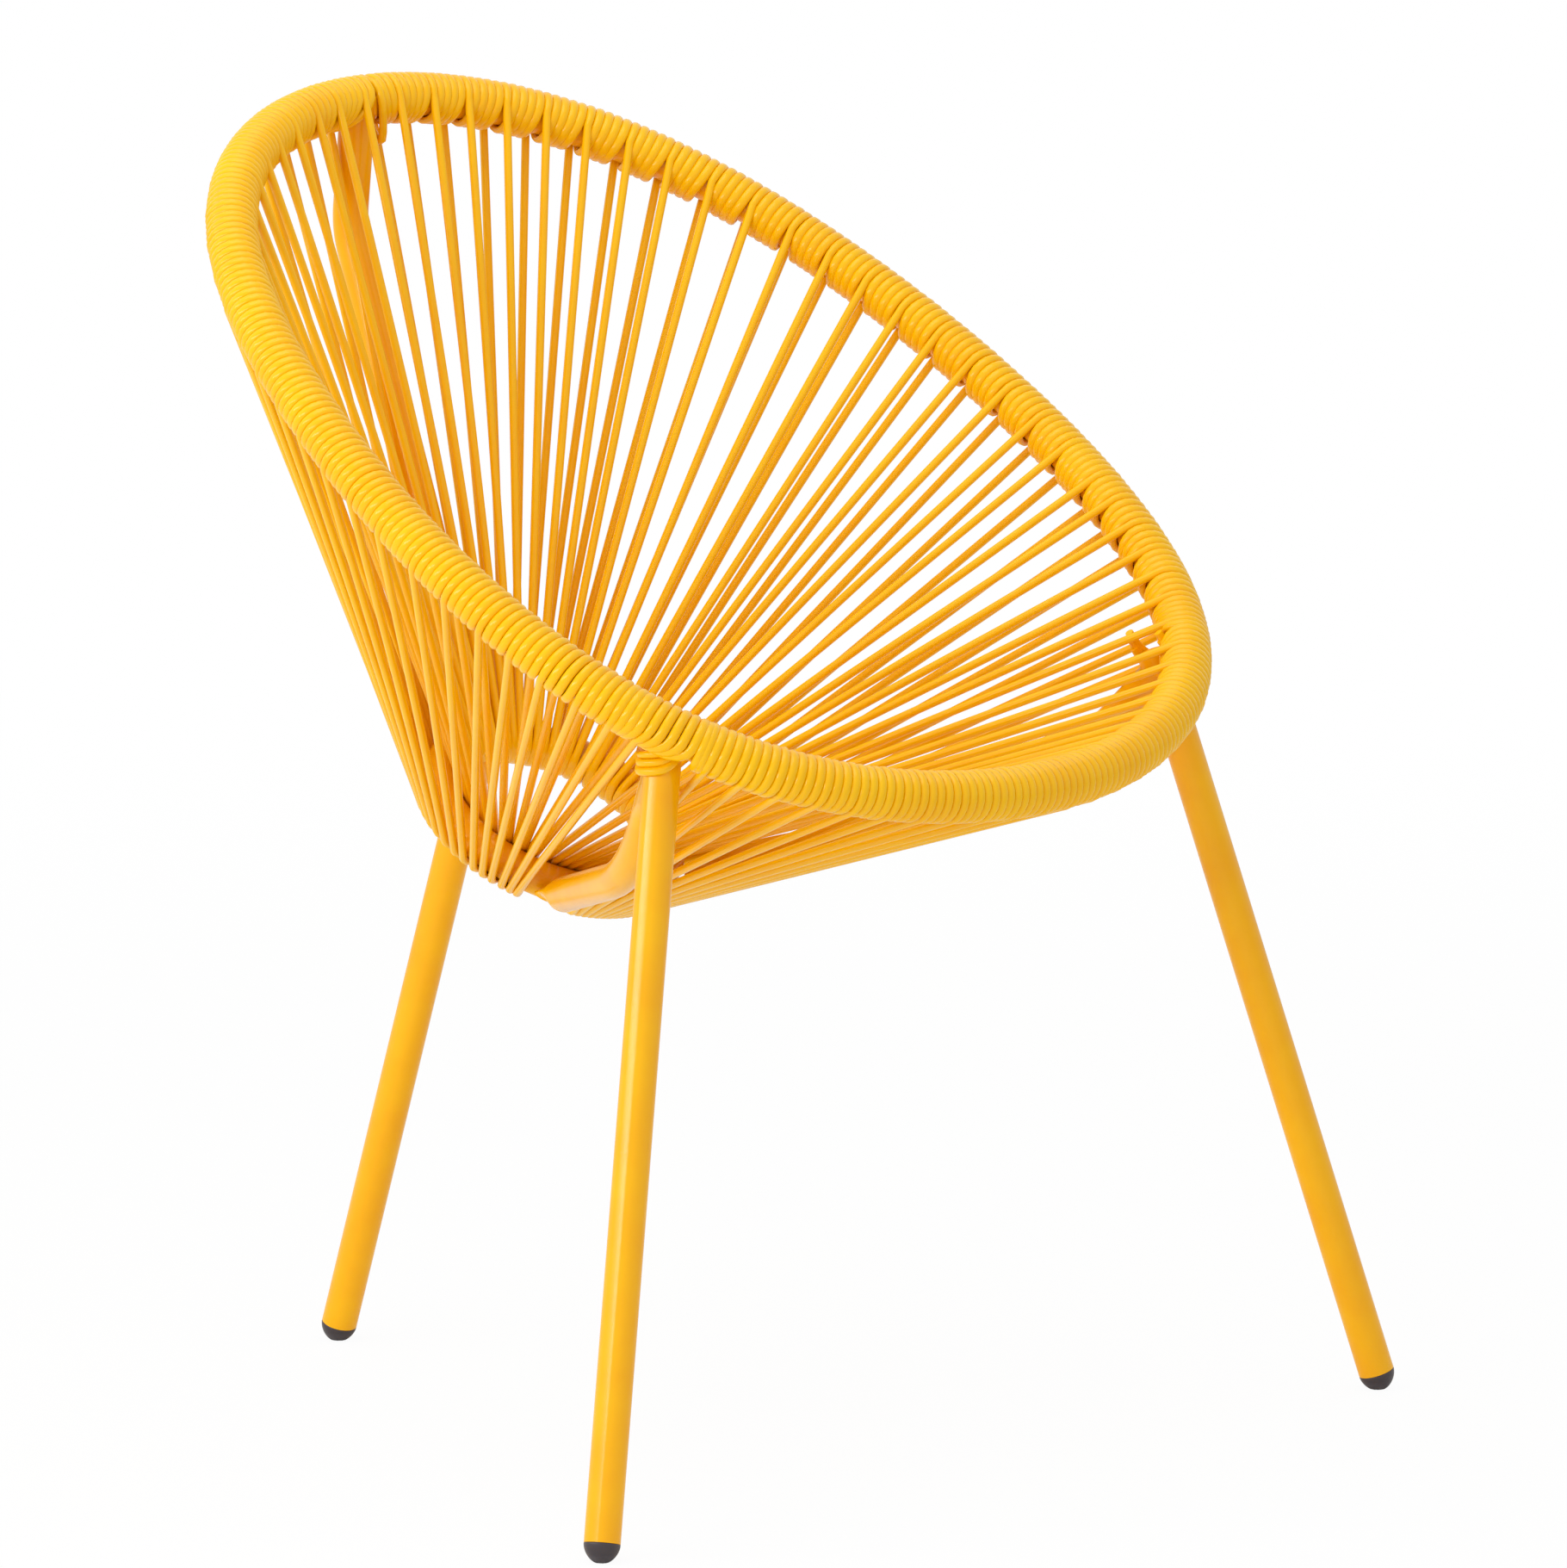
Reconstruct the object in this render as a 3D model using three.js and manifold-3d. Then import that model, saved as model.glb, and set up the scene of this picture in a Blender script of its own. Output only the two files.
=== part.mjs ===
// A round strung lounge chair: an egg-shaped rim, a small seat ring, three legs and a wound cord seat.
// Millimetres, +Z up, front towards -Y, +X to the right of someone who looks at it from the front.
import * as THREE from 'three';
import { mergeVertices } from 'three/addons/utils/BufferGeometryUtils.js';
import Module from 'manifold-3d';

const wasm = await Module();
wasm.setup();

// Stock: steel tube, round cord and the clearance between pieces that touch
const tubeDiameter = 22;
const tubeWall = 1.5;
const cordDiameter = 5;
const fitGap = 0.3;

// Rim: an egg-shaped loop in a plane that leans back
const rimHalfLength = 338;
const rimHalfWidth = 279;
const rimTilt = 32;
const rimCentreY = -321;
const rimCentreZ = 599.5;
const rimNarrowShare = -0.042;
const rimSquareShare = 0.035;
const rimFrontShare = 0.017;

// Seat ring: the small round loop that the cord is strung to
const ringRadius = 75;
const ringTilt = 31.5;
const ringCentreY = -196;
const ringCentreZ = 357;

// Legs: where each one joins the loops, and how far its foot stands out from there
const frontLegSplay = 128;
const frontLegRake = 70.4;
const rearLegRake = 132.05;
const legShareOfRim = 0.3741;
const legShareOfRing = 0.387;
const legInset = 20;
const legSlide = 5.4;
const braceDrop = 13;
const braceKneeRun = 38;
const braceKneeDrop = 68;
const braceBendRadius = 150;
const pinchHalfThickness = 3.2;
const pinchHalfWidth = 11.5;
const pinchStart = 30;
const pinchEnd = 13;
const pinchSetback = 4;
const uprightKneeBack = 15.5;
const uprightKneeDrop = 79.7;
const uprightBendRadius = 60;

// Foot caps: a pointed dome on a stem that plugs the tube
const capDomeHeight = 12;
const capStemLength = 16;
const capFlatDepth = 0.9;
const capPointShare = 0.82;

// Winding: a band of turns for each pair of strands
const sideUnits = 25;
const sideSections = 5;
const frontUnits = 16;
const frontSections = 4;
const bandGrooveDepth = 1.3;
const grooveShare = 0.25;
const crestShare = 0.75;
const strandRoot = 2.2;
const rimInnerMargin = 14.6;
const rimOuterMargin = 17;
const ringTopMarginAtRear = 7;
const ringUnderMarginAtRear = 14;
const ringOuterMarginAtRear = 15;
const ringTopMarginAtFront = 4;
const ringUnderMarginAtFront = 8.5;
const ringOuterMarginAtFront = 14.6;

// Facets
const tubeSides = 16;
const rimSides = 12;
const ringSides = 12;
const ringSteps = 48;
const coverAngles = [6, 50, 90, 130, 174, 220, 270, 320];
const boreSides = 8;
const weldSpaceSides = 6;
const bendSteps = 5;
const domeSteps = 6;
const mergeTolerance = 0.1;

const tubeRadius = tubeDiameter / 2;
const clearRadius = tubeRadius + fitGap;
const cordCentreRadius = clearRadius + cordDiameter / 2;
const strandHalfSide = Math.sqrt(Math.PI) / 2 * (cordDiameter / 2);
const sidesOf = (angles) => angles.map((angle, i) => (angles[(i + 1) % angles.length] - angle + 360) % 360);
const coverSides = sidesOf(coverAngles).map(THREE.MathUtils.degToRad);
const equalAreaShare = Math.sqrt(2 * Math.PI / coverSides.reduce((sum, side) => sum + Math.sin(side), 0));
const coverRadius = equalAreaShare * (clearRadius + cordDiameter);
const up = new THREE.Vector3(0, 0, 1);

const steel = { color: 0xf7b200, roughness: 0.42, metalness: 0.15 };
const vinyl = { color: 0xf9b500, roughness: 0.28, metalness: 0 };
const rubber = { color: 0x3c3638, roughness: 0.55, metalness: 0 };

// A flat loop that leans back by its tilt and starts at its rear, running to the right
class TiltedLoop extends THREE.Curve {
  constructor(centreY, centreZ, tilt, halfWidth, halfLength, narrow, square, front) {
    super();
    Object.assign(this, { halfWidth, halfLength, narrow, square, front });
    this.arcLengthDivisions = 1440;
    this.centre = new THREE.Vector3(0, centreY, centreZ);
    this.along = new THREE.Vector3(0, 1, 0).applyAxisAngle(new THREE.Vector3(1, 0, 0), THREE.MathUtils.degToRad(tilt));
    this.normal = new THREE.Vector3(1, 0, 0).cross(this.along);
  }

  getPoint(share, target = new THREE.Vector3()) {
    const angle = 2 * Math.PI * share;
    const across = Math.sin(angle) + this.narrow * Math.sin(2 * angle) + this.square * Math.sin(3 * angle);
    const along = Math.cos(angle) + this.front * Math.cos(2 * angle);
    target.copy(this.centre).addScaledVector(this.along, this.halfLength * along);
    target.x += this.halfWidth * across;
    return target;
  }

  // Point and square-set directions at a share of the loop's length: tangent, outward, and across both
  frameAt(share) {
    const wrapped = share - Math.floor(share);
    const point = this.getPointAt(wrapped);
    const tangent = this.getTangentAt(wrapped);
    const outward = tangent.clone().cross(this.normal).normalize();
    return { point, tangent, outward, across: outward.clone().cross(tangent) };
  }
}

const rim = new TiltedLoop(rimCentreY, rimCentreZ, rimTilt, rimHalfWidth, rimHalfLength,
  rimNarrowShare, rimSquareShare, rimFrontShare);
const ring = new TiltedLoop(ringCentreY, ringCentreZ, ringTilt, ringRadius, ringRadius, 0, 0, 0);

// A closed band of corners, round or oval about a point in the plane of two directions
function ringOf(centre, first, second, angles, radius, secondRadius = radius) {
  return angles.map((angle) => centre.clone()
    .addScaledVector(first, radius * Math.cos(THREE.MathUtils.degToRad(angle)))
    .addScaledVector(second, secondRadius * Math.sin(THREE.MathUtils.degToRad(angle))));
}

const evenAngles = (sides) => Array.from({ length: sides }, (_, i) => 360 * (i + 0.5) / sides);

// A closed mesh through rings of corners; with joinEnds the last ring meets the first, else both are capped
function skin(rings, joinEnds) {
  const sides = rings[0].length;
  const corners = rings.flat();
  const faces = [];
  const last = joinEnds ? rings.length : rings.length - 1;
  for (let k = 0; k < last; k += 1) {
    for (let i = 0; i < sides; i += 1) {
      const next = (i + 1) % sides;
      const here = k * sides;
      const there = ((k + 1) % rings.length) * sides;
      faces.push(here + i, here + next, there + next, here + i, there + next, there + i);
    }
  }
  if (!joinEnds) {
    const end = (rings.length - 1) * sides;
    for (let i = 1; i < sides - 1; i += 1) faces.push(0, i + 1, i, end, end + i, end + i + 1);
  }
  return outwardFacing(corners, faces);
}

// The geometry of corners and faces, turned inside out where its volume comes out negative
function outwardFacing(corners, faces) {
  let volume = 0;
  for (let f = 0; f < faces.length; f += 3) {
    volume += corners[faces[f]].dot(corners[faces[f + 1]].clone().cross(corners[faces[f + 2]]));
  }
  const index = volume < 0 ? faces.slice().reverse() : faces;
  const geometry = new THREE.BufferGeometry().setFromPoints(corners);
  return geometry.setIndex(index);
}

// Boolean work: a geometry as a solid, and a solid as a geometry
function solid(geometry) {
  const bare = geometry.clone();
  bare.deleteAttribute('normal');
  bare.deleteAttribute('uv');
  const merged = mergeVertices(bare, fitGap / 100);
  const vertProperties = new Float32Array(merged.attributes.position.array);
  const triVerts = new Uint32Array(merged.index.array);
  return new wasm.Manifold(new wasm.Mesh({ numProp: 3, vertProperties, triVerts }));
}

function geometryOf(body) {
  const mesh = body.getMesh();
  const geometry = new THREE.BufferGeometry();
  geometry.setAttribute('position', new THREE.BufferAttribute(new Float32Array(mesh.vertProperties), 3));
  geometry.setIndex(new THREE.BufferAttribute(new Uint32Array(mesh.triVerts), 1));
  return geometry;
}

const mix = (from, to, share) => from + (to - from) * share;
const cut = (body, cutters) => cutters.reduce((left, cutter) => left.subtract(cutter), body);

// A tube's path: straight runs joined by an arc of the bend radius at the knee between them
function bentPath(start, knee, end, bendRadius) {
  const into = knee.clone().sub(start).normalize();
  const out = end.clone().sub(knee).normalize();
  const half = into.angleTo(out) / 2;
  const axis = into.clone().cross(out).normalize();
  const toCentre = axis.clone().cross(into);
  const first = knee.clone().addScaledVector(into, -bendRadius * Math.tan(half));
  const centre = first.clone().addScaledVector(toCentre, bendRadius);
  const points = [start];
  for (let k = 0; k <= bendSteps; k += 1) {
    const spoke = toCentre.clone().negate().applyAxisAngle(axis, 2 * half * k / bendSteps);
    points.push(centre.clone().addScaledVector(spoke, bendRadius));
  }
  return [...points, end];
}

// Rings of corners along a path, each square to the path's run there; a pinch of 1 is a flattened tube
function ringsAlong(points, radius, angles, across, pinches = []) {
  const run = (k) => points[k + 1].clone().sub(points[k]).normalize();
  const first = across || up.clone().cross(run(0)).normalize();
  return points.map((point, k) => {
    const before = run(Math.max(k - 1, 0));
    const after = run(Math.min(k, points.length - 2));
    const direction = before.add(after).normalize();
    const side = first.clone().addScaledVector(direction, -first.dot(direction)).normalize();
    const pinch = pinches[k] || 0;
    const skinDepth = tubeRadius - radius;
    const wide = mix(radius, pinchHalfWidth - skinDepth, pinch);
    const thin = mix(radius, pinchHalfThickness - skinDepth, pinch);
    return ringOf(point, side, direction.clone().cross(side), angles, wide, thin);
  });
}

function hollowTube(points, across, pinches) {
  const outer = ringsAlong(points, tubeRadius, evenAngles(tubeSides), across, pinches);
  const bore = ringsAlong(points, tubeRadius - tubeWall, evenAngles(tubeSides), across, pinches);
  return solid(skin([...outer, ...bore.reverse()], true));
}

// The space that a tube takes with its clearance all round, for cutting what meets it
function tubeSpace(points, sides) {
  const tangentShare = 1 / Math.cos(Math.PI / sides);
  return solid(skin(ringsAlong(points, clearRadius * tangentShare, evenAngles(sides)), false));
}

// Rims: the bare tube loops, and their space with clearance
function loopRings(loop, shares, radius, sides) {
  return shares.map((share) => {
    const { point, outward, across } = loop.frameAt(share);
    return ringOf(point, outward, across, evenAngles(sides), radius);
  });
}

function loopSpace(loop, shares) {
  const tangentShare = 1 / Math.cos(Math.PI / rimSides);
  return solid(skin(loopRings(loop, shares, clearRadius * tangentShare, rimSides), true));
}

// Sections of the winding, each between two of the three welds on the rim; the left one mirrors the right
const marginsAtRear = [ringTopMarginAtRear, ringUnderMarginAtRear, ringOuterMarginAtRear];
const marginsAtFront = [ringTopMarginAtFront, ringUnderMarginAtFront, ringOuterMarginAtFront];
const sections = [
  { rimFrom: 0, rimTo: legShareOfRim, ringFrom: 0, ringTo: legShareOfRing,
    marginsFrom: marginsAtRear, marginsTo: marginsAtFront, units: sideUnits, parts: sideSections },
  { rimFrom: legShareOfRim, rimTo: 1 - legShareOfRim, ringFrom: legShareOfRing, ringTo: 1 - legShareOfRing,
    marginsFrom: marginsAtFront, marginsTo: marginsAtFront, units: frontUnits, parts: frontSections },
];

const rimLength = rim.getLength();
const ringLength = ring.getLength();
const edgesOf = ({ rimFrom, rimTo, units }) =>
  Array.from({ length: units }, (_, k) => mix(rimFrom, rimTo, k / units));
const mirroredEdges = edgesOf(sections[0]).slice(1).reverse().map((share) => 1 - share);
const unitEdges = [...sections.flatMap(edgesOf), sections[1].rimTo, ...mirroredEdges];
const ringShares = Array.from({ length: ringSteps }, (_, k) => k / ringSteps);

// Strand k's frame on a loop, its section's strands evenly spread between the margins kept at both welds
function strandFrame(loop, loopLength, from, to, marginFrom, marginTo, k, units) {
  return loop.frameAt(mix(from + marginFrom / loopLength, to - marginTo / loopLength, k / (units - 1)));
}

// Directions where a strand meets a loop: into the bowl, and on along the strand
function meeting(frame, along) {
  const inward = along.clone().cross(frame.tangent).normalize();
  if (inward.dot(rim.normal) < 0) inward.negate();
  const onward = along.clone().addScaledVector(frame.tangent, -along.dot(frame.tangent)).normalize();
  return { inward, onward };
}

// One cord run: down inside the bowl, round the seat ring from below, and back up outside
function strandPath(section, k) {
  const { rimFrom, rimTo, ringFrom, ringTo, marginsFrom, marginsTo, units } = section;
  const onRim = (margin) => strandFrame(rim, rimLength, rimFrom, rimTo, margin, margin, k, units);
  const rimInner = onRim(rimInnerMargin);
  const rimOuter = onRim(rimOuterMargin);
  const ringFrames = marginsFrom.map((marginFrom, i) =>
    strandFrame(ring, ringLength, ringFrom, ringTo, marginFrom, marginsTo[i], k, units));
  const down = ringFrames[0].point.clone().sub(rimInner.point);
  const back = ringFrames.at(-1).point.clone().sub(rimOuter.point);
  const root = (frame, along, reach) => {
    const { inward, onward } = meeting(frame, along);
    return frame.point.clone().addScaledVector(inward, reach).addScaledVector(onward, strandRoot);
  };
  const start = root(rimInner, down, cordCentreRadius);
  const end = root(rimOuter, back, -cordCentreRadius);
  const corners = ringFrames.length;
  const reach = cordCentreRadius / Math.cos(Math.PI / (2 * corners));
  const loop = ringFrames.map((frame, i) => {
    const { inward, onward } = meeting(frame, down);
    const angle = Math.PI * (i + 0.5) / corners;
    return { side: frame.tangent, point: frame.point.clone()
      .addScaledVector(inward, reach * Math.cos(angle)).addScaledVector(onward, reach * Math.sin(angle)) };
  });
  return [{ side: rimInner.tangent, point: start }, ...loop, { side: rimOuter.tangent, point: end }];
}

// A four-sided strand of the cord's own area along a path, mitred at each corner
function strand(path) {
  const rings = path.map(({ point, side }, k) => {
    const before = point.clone().sub(path[Math.max(k - 1, 0)].point).normalize();
    const after = path[Math.min(k + 1, path.length - 1)].point.clone().sub(point).normalize();
    const direction = before.clone().add(after).normalize();
    const lateral = side.clone().addScaledVector(direction, -side.dot(direction)).normalize();
    const depth = direction.clone().cross(lateral);
    const mitre = 1 / Math.cos((before.length() && after.length() ? before.angleTo(after) : 0) / 2);
    return [[1, 1], [-1, 1], [-1, -1], [1, -1]].map(([a, b]) => point.clone()
      .addScaledVector(lateral, a * strandHalfSide).addScaledVector(depth, b * strandHalfSide * mitre));
  });
  return solid(skin(rings, false));
}

// The turns on the rim, one swelling band for each pair of strands, over a bore that clears the tube
function cover(section, firstUnit, lastUnit) {
  const { rimFrom, rimTo, units } = section;
  const shareAt = (unit) => {
    const inset = unit === firstUnit ? 1 : (unit === lastUnit ? -1 : 0);
    return mix(rimFrom, rimTo, unit / units) + inset * fitGap / 2 / rimLength;
  };
  const ringAt = (unit, radius, angles = coverAngles) => {
    const frame = rim.frameAt(shareAt(unit));
    const below = ring.frameAt(mix(section.ringFrom, section.ringTo, unit / units));
    const { inward, onward } = meeting(frame, below.point.sub(frame.point));
    return ringOf(frame.point, inward, onward, angles, radius);
  };
  const grooveRadius = coverRadius - bandGrooveDepth;
  const outer = [];
  for (let unit = firstUnit; unit < lastUnit; unit += 1) {
    outer.push(ringAt(unit === firstUnit ? unit : unit + grooveShare, grooveRadius));
    outer.push(ringAt(unit + crestShare, coverRadius));
  }
  outer.push(ringAt(lastUnit, grooveRadius));
  const boreRadius = clearRadius / Math.cos(Math.PI / boreSides);
  const bore = Array.from({ length: lastUnit - firstUnit + 1 }, (_, k) =>
    ringAt(lastUnit - k, boreRadius, evenAngles(boreSides)));
  return solid(skin([...outer, ...bore], true));
}

// Frame pieces
const frameSpaces = {};
const weldSpaces = [];
const pieces = [];
const piece = (name, geometry, look) => pieces.push({ name, geometry, look });

function weldPoints(sign) {
  const place = (share) => (sign > 0 ? share : 1 - share);
  const rimFrame = rim.frameAt(place(legShareOfRim));
  const ringFrame = ring.frameAt(place(legShareOfRing));
  const toRing = ringFrame.point.clone().sub(rimFrame.point);
  const head = rimFrame.point.clone().addScaledVector(toRing.clone().normalize(), legInset)
    .addScaledVector(rimFrame.tangent, -sign * legSlide);
  const { inward, onward } = meeting(ringFrame, toRing);
  const seat = ringFrame.point.clone().addScaledVector(inward, -clearRadius - pinchHalfThickness)
    .addScaledVector(onward, -pinchSetback);
  return { head, seat, across: ringFrame.tangent };
}

function frontLeg(name, sign) {
  const { head, seat, across } = weldPoints(sign);
  const foot = new THREE.Vector3(head.x + sign * frontLegSplay, head.y - frontLegRake, 0);
  const axis = head.clone().sub(foot).normalize();
  const bottom = foot.clone().addScaledVector(axis, capDomeHeight + fitGap);
  const legPoints = [bottom, head];
  const braceStart = head.clone().addScaledVector(axis, -braceDrop);
  const level = new THREE.Vector3(seat.x - braceStart.x, seat.y - braceStart.y, 0).normalize();
  const knee = braceStart.clone().addScaledVector(level, braceKneeRun).addScaledVector(up, -braceKneeDrop);
  const bracePoints = bentPath(braceStart, knee, seat, braceBendRadius);
  const lastRun = seat.clone().sub(knee).normalize();
  const pinchRuns = [pinchStart, pinchEnd];
  bracePoints.splice(-1, 0, ...pinchRuns.map((run) => seat.clone().addScaledVector(lastRun, -run)));
  const pinches = bracePoints.map((_, k) => (k < bracePoints.length - 2 ? 0 : 1));
  const legReach = [bottom, head.clone().addScaledVector(axis, fitGap)];
  const legSpace = tubeSpace(legReach, tubeSides);
  const leg = cut(hollowTube(legPoints), [frameSpaces.rim]);
  const brace = cut(hollowTube(bracePoints, across, pinches), [legSpace, frameSpaces.ring, frameSpaces.rim]);
  const roundBrace = bracePoints.slice(0, -pinchRuns.length);
  weldSpaces.push(tubeSpace(legReach, weldSpaceSides), tubeSpace(roundBrace, weldSpaceSides));
  piece(`${name}_leg`, geometryOf(leg), steel);
  piece(`${name}_brace`, geometryOf(brace), steel);
  footCap(`${name}_foot_cap`, foot, axis);
}

function rearFrame() {
  const onRim = rim.frameAt(0).point;
  const onRing = ring.frameAt(0).point;
  const foot = new THREE.Vector3(0, onRing.y + rearLegRake, 0);
  const axis = onRing.clone().sub(foot).normalize();
  const legPoints = [foot.clone().addScaledVector(axis, capDomeHeight + fitGap), onRing];
  const knee = new THREE.Vector3(0, onRim.y + uprightKneeBack, onRim.z - uprightKneeDrop);
  const uprightPoints = bentPath(onRing.clone(), knee, onRim.clone(), uprightBendRadius);
  const legSpace = tubeSpace(legPoints, tubeSides);
  const leg = cut(hollowTube(legPoints), [frameSpaces.ring]);
  const upright = cut(hollowTube(uprightPoints), [frameSpaces.ring, frameSpaces.rim, legSpace]);
  weldSpaces.push(tubeSpace(uprightPoints, weldSpaceSides), tubeSpace(legPoints, weldSpaceSides));
  piece('rear_leg', geometryOf(leg), steel);
  piece('back_upright', geometryOf(upright), steel);
  footCap('rear_foot_cap', foot, axis);
}

// A dome on a plug that fills the tube's end, cut level where it stands on the floor
function footCap(name, foot, axis) {
  const plugRadius = tubeRadius - tubeWall - fitGap;
  const profile = [new THREE.Vector2(0, 0)];
  for (let k = 1; k <= domeSteps; k += 1) {
    const angle = Math.PI / 2 * k / domeSteps;
    const radius = tubeRadius * Math.sin(angle);
    const rise = mix(1 - Math.cos(angle), Math.sin(angle) ** 2, 1 - capPointShare);
    profile.push(new THREE.Vector2(radius, capDomeHeight * rise));
  }
  profile.push(new THREE.Vector2(plugRadius, capDomeHeight));
  profile.push(new THREE.Vector2(plugRadius, capDomeHeight + capStemLength));
  profile.push(new THREE.Vector2(0, capDomeHeight + capStemLength));
  const turned = new THREE.LatheGeometry(profile, tubeSides);
  const placed = new THREE.Object3D();
  placed.position.copy(foot);
  placed.quaternion.setFromUnitVectors(new THREE.Vector3(0, 1, 0), axis);
  placed.updateMatrix();
  turned.applyMatrix4(placed.matrix);
  const floor = new THREE.BoxGeometry(4 * tubeDiameter, 4 * tubeDiameter, tubeDiameter);
  floor.translate(foot.x, foot.y, capFlatDepth - tubeDiameter / 2);
  const lowered = cut(solid(turned), [solid(floor)]);
  piece(name, geometryOf(lowered), rubber);
}

function frame() {
  frameSpaces.rim = loopSpace(rim, unitEdges);
  frameSpaces.ring = loopSpace(ring, ringShares);
  piece('rim_tube', skin(loopRings(rim, unitEdges, tubeRadius, rimSides), true), steel);
  piece('seat_ring', skin(loopRings(ring, ringShares, tubeRadius, ringSides), true), steel);
  frontLeg('front_left', -1);
  frontLeg('front_right', 1);
  rearFrame();
}

// One part of a section: its turns on the rim with its strand runs fused in, cleared round the welded tubes
function windingPart(section, part) {
  const perPart = section.units / section.parts;
  const firstUnit = part * perPart;
  const lastUnit = firstUnit + perPart;
  let body = cut(cover(section, firstUnit, lastUnit), weldSpaces);
  for (let k = firstUnit; k < lastUnit; k += 1) body = body.add(strand(strandPath(section, k)));
  return body.simplify(mergeTolerance);
}

// Both sides alike: the left section mirrors the right, and the front's second half its first
function winding() {
  const [side, front] = sections;
  const mirrored = (body) => geometryOf(body.mirror([1, 0, 0]));
  for (let part = 0; part < side.parts; part += 1) {
    const body = windingPart(side, part);
    piece(`seat_cord_right_${part + 1}`, geometryOf(body), vinyl);
    piece(`seat_cord_left_${part + 1}`, mirrored(body), vinyl);
  }
  for (let part = 0; part < front.parts / 2; part += 1) {
    const body = windingPart(front, part);
    piece(`seat_cord_front_right_${part + 1}`, geometryOf(body), vinyl);
    piece(`seat_cord_front_left_${part + 1}`, mirrored(body), vinyl);
  }
}

// The least clear space between neighbouring cord runs, measured on points along them
function leastCordGap() {
  const samples = 24;
  const runs = sections.flatMap((section) => Array.from({ length: section.units }, (_, k) => {
    const path = strandPath(section, k);
    return path.slice(1).flatMap(({ point }, i) => Array.from({ length: samples }, (__, s) =>
      path[i].point.clone().lerp(point, s / samples)));
  }));
  let least = Infinity;
  runs.forEach((run, k) => {
    const next = runs[k + 1] || [];
    for (const a of run) for (const b of next) least = Math.min(least, a.distanceTo(b));
  });
  return least - 2 * strandHalfSide;
}

frame();
winding();
console.log(`least gap between neighbouring cord runs: ${leastCordGap().toFixed(2)} mm`);

const chair = new THREE.Group();
for (const { name, geometry, look } of pieces) {
  const mesh = new THREE.Mesh(geometry, new THREE.MeshStandardMaterial(look));
  mesh.name = name;
  chair.add(mesh);
}
const extent = new THREE.Box3().setFromObject(chair, true);
chair.position.set(0, -(extent.min.y + extent.max.y) / 2, -extent.min.z);

export default chair;
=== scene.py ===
import math

import bpy
import numpy as np
from mathutils import Matrix, Vector


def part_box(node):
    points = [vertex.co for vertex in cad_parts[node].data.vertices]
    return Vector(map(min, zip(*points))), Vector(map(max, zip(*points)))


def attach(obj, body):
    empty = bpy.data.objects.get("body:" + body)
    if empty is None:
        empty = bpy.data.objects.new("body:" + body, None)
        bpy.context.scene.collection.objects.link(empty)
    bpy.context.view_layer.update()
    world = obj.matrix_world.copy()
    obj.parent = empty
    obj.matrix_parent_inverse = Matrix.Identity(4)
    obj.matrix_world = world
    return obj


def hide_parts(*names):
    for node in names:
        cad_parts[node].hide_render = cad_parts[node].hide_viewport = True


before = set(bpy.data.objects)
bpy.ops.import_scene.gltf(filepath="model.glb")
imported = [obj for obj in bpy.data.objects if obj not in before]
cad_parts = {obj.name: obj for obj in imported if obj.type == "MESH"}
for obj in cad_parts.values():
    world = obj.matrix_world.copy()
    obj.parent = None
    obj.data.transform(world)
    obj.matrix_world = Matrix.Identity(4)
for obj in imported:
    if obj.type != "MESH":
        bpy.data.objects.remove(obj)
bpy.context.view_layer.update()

# The chair's own sizes, in metres, degrees and shares, all set from the middle of the seat ring
ring_low, ring_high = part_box("seat_ring")
RING_CENTRE = np.array((ring_low + ring_high) / 2)

TUBE_RADIUS = 0.011
CLEARANCE = 0.0003
CORD_RADIUS = 0.0026
CORD_WIDENED, CORD_THINNED = 0.22, 0.15
CORD_STAND_OFF = 0.0025
CORD_LAY = TUBE_RADIUS + CLEARANCE + CORD_STAND_OFF

RIM_CENTRE = RING_CENTRE + (0.0, -0.125, 0.2425)
RIM_TILT = 32.0
RIM_HALF_LENGTH = 0.338
RIM_HALF_WIDTH = 0.279
RIM_NARROW, RIM_SQUARE, RIM_FRONT = -0.042, 0.035, 0.017
RING_RADIUS = 0.075
RING_TILT = 31.5

FRONT_FOOT = (0.339, -0.3775, -0.357)
REAR_FOOT = (0.0, 0.196, -0.357)
LEG_RIM_SHARE = 0.3741
LEG_RING_SHARE = 0.387
LEG_INSET = 0.020
LEG_SLIDE = 0.0054
BRACE_DROP = 0.013
BRACE_KNEE_RUN = 0.076
BRACE_KNEE_DROP = 0.081
BRACE_BEND = 0.210
PINCH_THIN, PINCH_WIDE = 0.0032, 0.0115
PINCH_LENGTH = 0.036
PINCH_FLAT = 0.013
PINCH_STEPS = 8
BRACE_SIDES = 40
PINCH_TURNED = 35.0
TIES_DOWN = (0.0096, 0.0148, 0.0198)
TIE_RISE, TIE_REACH = 0.024, 105.0
TIE_STEPS = 28
UPRIGHT_KNEE = (0.0, 0.1750, 0.345)
UPRIGHT_BEND = 0.060
BEAD_RADIUS = 0.0017
BEAD_SEARCH = (-0.004, 0.045)
BEAD_HALVINGS = 24
CAP_HEIGHT = 0.012
CAP_FLAT = 0.0009
CAP_POINT = 0.82
CAP_TIP_SHARE, CAP_EDGE_SHARE = 0.02, 0.998
CAP_LIP_SHARES = ((0.965, 0.6), (0.82, 0.8))
CAP_STEPS = 20
LEG_SIDES = 48
LOOP_STEPS = 2880
WELD_STEPS = 720

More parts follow.
